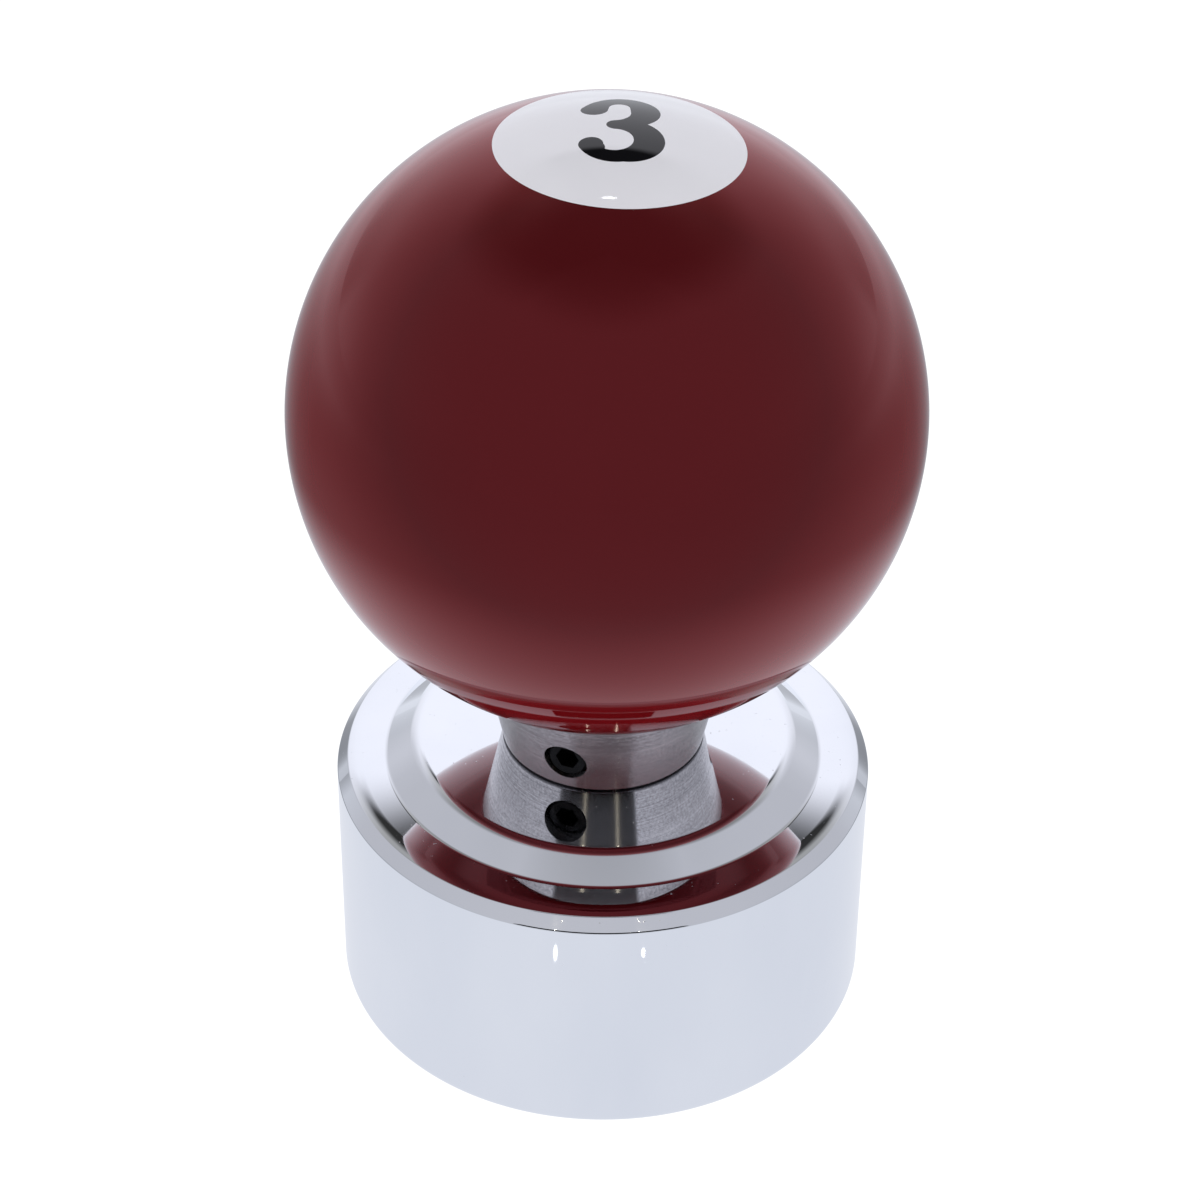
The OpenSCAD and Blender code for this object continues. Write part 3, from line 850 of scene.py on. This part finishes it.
# The dark top: the height at which it begins, half the height over which it does, and its brightness
DARK_TOP = (
    (0.0, (0.655, 0.02, 0.03)), (0.02, (0.66, 0.03, 0.035)), (0.04, (0.665, 0.08, 0.42)),
    (0.1, (0.69, 0.1, 0.42)), (0.15, (0.7, 0.1, 0.34)), (0.25, (0.72, 0.12, 0.27)),
    (0.37, (0.78, 0.12, 0.22)), (0.5, (0.84, 0.12, 0.18)), (0.75, (0.92, 0.09, 0.15)),
    (1.0, (0.94, 0.09, 0.15)),
)
# Towards the zenith, where all bearings meet, the dark top takes one colour
ZENITH, ZENITH_FADE = (0.15, 0.15, 0.155), (0.84, 0.96)


def glowing(name, colour, strength=1.0, one_sided=False):
    """A material that only gives off light. colour is a colour, or a function of the paint for one.

    One-sided, it is clear when it is seen from behind.
    """
    paint = Paint(name)
    paint.tree.nodes.remove(paint.shader)
    light = {"Color": colour(paint) if callable(colour) else colour, "Strength": strength}
    surface = paint.add("Emission", light).outputs[0]
    if one_sided:
        clear = paint.add("BsdfTransparent").outputs[0]
        behind = paint.add("NewGeometry").outputs["Backfacing"]
        surface = paint.add("MixShader", {0: behind, 1: surface, 2: clear}).outputs[0]
    paint.tree.links.new(surface, paint.tree.nodes["Material Output"].inputs["Surface"])
    return paint.material


def build_sweep():
    """The white sweep that the camera sees: a floor and a backdrop. It is seen from its inside only."""
    reach, high = 2500, 2500
    outline = [(0, 0), (0.8 * reach, 0), (reach, 200), (reach, high), (0, high + 500)]
    sweep = revolve("studio_sweep", outline, 96)
    sweep.data.flip_normals()
    sweep.data.materials.append(glowing("studio_white", (1.0, 1.0, 1.0), 1.1, one_sided=True))
    for ray in ("visible_diffuse", "visible_glossy", "visible_shadow", "visible_transmission"):
        setattr(sweep, ray, False)


def build_table():
    """The table that the surfaces mirror: bright round the cup, and darker further out and behind."""
    def glow(paint):
        where = paint.where["Object"]
        bearing = paint.bearing(where)
        reach = paint.add("VectorMath", {0: where}, operation="LENGTH").outputs["Value"]
        far = paint.ramp(bearing, FAR_TABLE, TABLE_TINT)
        far = paint.blend(paint.step(reach, *TABLE_FAR), far, paint.ramp(bearing, TABLE_EDGE, TABLE_TINT))
        return paint.blend(paint.step(reach, *TABLE_NEAR), TABLE_BY_CUP, far)

    radius, level = 3000, -0.02
    table = revolve("studio_table", [(0, level), (radius, level)], 96)
    table.data.materials.append(glowing("studio_table", glow))
    table.visible_camera = False


def build_world():
    """Soft surroundings, by direction: bright backdrop behind, dark top, grey in front and aside."""
    world = bpy.data.worlds.new("studio")
    bpy.context.scene.world = world
    world.use_nodes = True
    graph = Graph(world.node_tree)
    direction = graph.where["Generated"]
    bearing = graph.bearing(direction)
    height = graph.calc("ABSOLUTE", graph.add("SeparateXYZ", {0: direction}).outputs["Z"])
    low, around = graph.ramp(bearing, HORIZON, TABLE_TINT), graph.ramp(bearing, AROUND, WALL_TINT)
    around = graph.blend(graph.step(height, 0, HORIZON_TOP), low, around)
    start, half, level = graph.add("SeparateColor", {0: graph.ramp(bearing, DARK_TOP)}).outputs
    above = graph.calc("DIVIDE", graph.calc("SUBTRACT", height, start), half)
    dark = graph.blend(graph.step(height, *ZENITH_FADE), level, ZENITH)
    colour = graph.blend(graph.step(above, -1, 1), around, dark)
    graph.tree.links.new(colour, graph.tree.nodes["Background"].inputs["Color"])


def shine_only_on(light, pieces):
    """Lets a lamp or a glowing card light some pieces only; the others see a card as black."""
    group = bpy.data.collections.new(light.name + "_lights")
    for piece in pieces:
        group.objects.link(piece)
    light.light_linking.receiver_collection = group


def build_front_cards(ball_pieces, cup):
    """The opening that the camera looks through: it is dark, but the ball sees it lit.

    The cup sees it lit too in one strip, and at its left side.
    """
    near, left, side, right = -3000, -2900, -1950, 1950
    foot_z, strip_foot, strip_top, top_z = -250, 2580, 3130, 5000
    ball_and_cup = ball_pieces + [cup]
    for name, start, end, low, high, pieces in (
        ("studio_front_side", left, side, foot_z, top_z, ball_and_cup),
        ("studio_front_low", side, right, foot_z, strip_foot, ball_pieces),
        ("studio_front_strip", side, right, strip_foot, strip_top, ball_and_cup),
        ("studio_front_high", side, right, strip_top, top_z, ball_pieces),
    ):
        corners = [(start, near, low), (end, near, low), (end, near, high), (start, near, high)]
        card = new_piece(name, corners, [(3, 2, 1, 0)])
        card.data.materials.append(glowing(name, tuple(0.6 * c for c in WALL_TINT)))
        card.visible_camera = False
        shine_only_on(card, pieces)


def build_lamp(name, where, size, watts, mirrored=False, colour=(1, 1, 1), flat=1.0):
    """An elliptical lamp that faces the knob. flat is its height over its width."""
    data = bpy.data.lights.new(name, "AREA")
    data.shape, data.size, data.size_y = "ELLIPSE", size, size * flat
    data.energy, data.color = watts, colour
    lamp = bpy.data.objects.new(name, data)
    bpy.context.scene.collection.objects.link(lamp)
    lamp.location = where
    aim = Vector((0, 0, 0.06)) - lamp.location
    lamp.rotation_euler = aim.to_track_quat("-Z", "Y").to_euler()
    lamp.visible_glossy, lamp.visible_camera = mirrored, False
    return lamp


def build_lights(metal, cup):
    """Large soft lamps that light the resin but aren't mirrored, and small lamps that are.

    The sparks are two warm lamps in front, which shine on the metal only. The last two lamps stand for
    the sparks' images in the table, which only the cup's wall shows.
    """
    build_lamp("soft_top", (0.0, 0.1, 0.9), 0.9, 2.2)
    build_lamp("soft_front", (0.0, -1.0, 0.0), 1.0, 3.5)
    build_lamp("soft_left", (-1.0, -0.2, 0.1), 0.8, 1.6)
    build_lamp("soft_right", (1.0, -0.2, 0.1), 0.8, 1.6)
    build_lamp("small_lamp", (0.0, 0.375, 0.99), 0.07, 0.05, mirrored=True, flat=0.3)
    reach, rise = math.cos(math.radians(38)), math.sin(math.radians(38))
    for name, azimuth in (("spark_left", -19), ("spark_right", 16)):
        turn = math.radians(azimuth)
        where = (math.sin(turn) * reach, -math.cos(turn) * reach, rise + 0.03)
        spark = build_lamp(name, where, 0.012, 0.22, mirrored=True, colour=(1, 0.9, 0.66))
        shine_only_on(spark, metal)
    for name, where, size, flat in (
        ("image_left", (-0.0116, -0.0462, 0.0012), 0.0011, 1.5),
        ("image_right", (0.011, -0.0466, 0.0012), 0.001, 0.9),
    ):
        image = build_lamp(name, where, size, 4e-6, mirrored=True, colour=(1, 0.98, 0.94), flat=flat)
        shine_only_on(image, [cup])


def build_camera():
    """The camera, 300 mm from the ball's centre and about 33 degrees above its level."""
    distance, elevation = 300, math.radians(32.99)
    focal, frame_width = 3366, 1200
    pitch, yaw, roll = math.radians(36.16), math.radians(-0.1), math.radians(0.6)
    data = bpy.data.cameras.new("camera")
    camera = bpy.data.objects.new("camera", data)
    bpy.context.scene.collection.objects.link(camera)
    bpy.context.scene.camera = camera
    data.sensor_width = 36
    data.lens = focal / frame_width * data.sensor_width
    data.clip_start = 0.01
    eye = Vector((0, -distance * math.cos(elevation), distance * math.sin(elevation) + BALL_Z)) * MM
    ahead = Vector((math.sin(yaw) * math.cos(pitch), math.cos(yaw) * math.cos(pitch), -math.sin(pitch)))
    level = ahead.cross(Vector((0, 0, 1))).normalized()
    upright = level.cross(ahead)
    right = level * math.cos(roll) + upright * math.sin(roll)
    up = upright * math.cos(roll) - level * math.sin(roll)
    turn = Matrix((right, up, -ahead)).transposed().to_4x4()
    camera.matrix_world = Matrix.Translation(eye) @ turn


build_camera()
ball_pieces = [build_ball(), build_spot(), build_numeral()]
neck_pieces = [build_neck()]
for node, azimuth in SET_SCREW_AZIMUTHS.items():
    neck_pieces.append(build_set_screw(node, azimuth))
cup = build_cup()
build_plate()
build_stud()
build_nut()
build_split_washer()
build_plate_screw("plate_screw_left", -1)
build_plate_screw("plate_screw_right", 1)
build_flat_washers()
build_sweep()
build_table()
build_world()
build_front_cards(ball_pieces, cup)
build_lights(neck_pieces + [cup], cup)
bpy.context.scene.view_settings.view_transform = "Standard"
